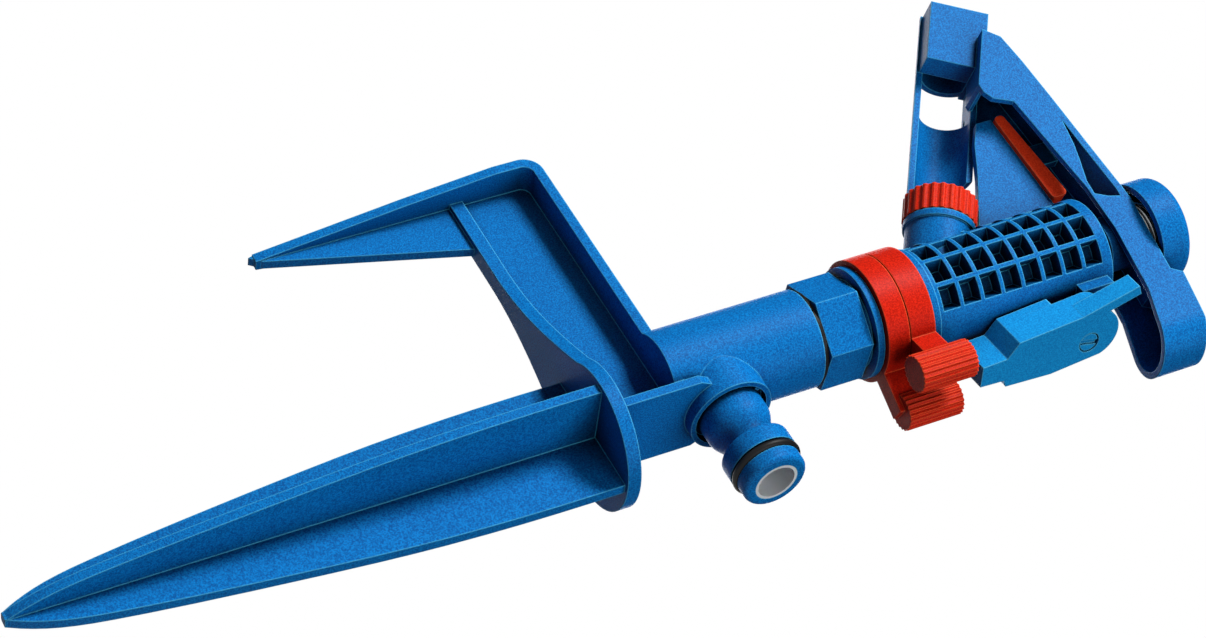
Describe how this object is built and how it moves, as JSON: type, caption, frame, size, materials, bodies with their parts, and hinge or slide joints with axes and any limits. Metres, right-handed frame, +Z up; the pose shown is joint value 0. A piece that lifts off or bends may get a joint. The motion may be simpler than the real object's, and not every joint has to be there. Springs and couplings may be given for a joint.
{
  "type": "spike impact sprinkler",
  "caption": "Ground spike sprinkler: finned spike with side prong, hose nipple, turning lattice head, sprung impact arm with spoon, trip lever and stop collars.",
  "frame": {"origin": "on the head's turning axis, at the underside of the step plate, which is ground level in use", "axes": "+Z up the turning axis, +X towards the side prong, -X towards the hose nipple"},
  "size_m": [0.1118, 0.043, 0.3076],
  "materials": {
    "blue_plastic": "satin moulded",
    "light_blue_plastic": "satin moulded",
    "red_plastic": "satin moulded",
    "black_rubber": "matt",
    "white_plastic": "satin",
    "steel": "drawn",
    "brass": "turned"
  },
  "bodies": {
    "base": {"spike_body": "blue_plastic", "hose_nipple": "blue_plastic", "nipple_o_ring": "black_rubber", "nipple_liner": "white_plastic", "nut_seal": "black_rubber", "bearing_nut": "blue_plastic", "bearing_spring": "steel"},
    "lower_stop": {"stop_collar_lower": "red_plastic"},
    "upper_stop": {"stop_collar_upper": "red_plastic"},
    "head": {"pivot_tube": "white_plastic", "pivot_washer": "black_rubber", "head_body": "blue_plastic", "nozzle_insert": "white_plastic", "impact_buffer": "red_plastic", "trip_pin": "light_blue_plastic", "arm_shaft": "steel", "arm_washer": "white_plastic", "arm_spring": "steel", "spring_cap": "blue_plastic"},
    "nozzle_ring": {"nozzle_nut": "red_plastic"},
    "trip": {"trip_lever": "light_blue_plastic"},
    "arm": {"impact_arm": "blue_plastic", "arm_bush": "brass"}
  },
  "joints": [
    {"name": "head_turn", "type": "hinge", "parent": "base", "child": "head", "pos_m": [0, 0, 0.0825], "axis": [0, 0, 1], "continuous": true},
    {"name": "lower_stop_turn", "type": "hinge", "parent": "base", "child": "lower_stop", "pos_m": [0, 0, 0.079], "axis": [0, 0, 1], "range_deg": [-5, 40]},
    {"name": "upper_stop_turn", "type": "hinge", "parent": "base", "child": "upper_stop", "pos_m": [0, 0, 0.086], "axis": [0, 0, 1], "range_deg": [-40, 5]},
    {"name": "nozzle_nut_turn", "type": "hinge", "parent": "head", "child": "nozzle_ring", "pos_m": [0.01987, 0.00532, 0.11076], "axis": [0.828, 0.2219, 0.515], "continuous": true},
    {"name": "trip_swing", "type": "hinge", "parent": "head", "child": "trip", "pos_m": [-0.02074, -0.00244, 0.1276], "axis": [-0.9848, 0.1736, 0], "range_deg": [-10, 10]},
    {"name": "arm_swing", "type": "hinge", "parent": "head", "child": "arm", "pos_m": [0, 0, 0.15], "axis": [0, 0, -1], "range_deg": [0, 75], "stiffness_Nm_per_rad": 0.02, "springref_deg": -20.05}
  ]
}
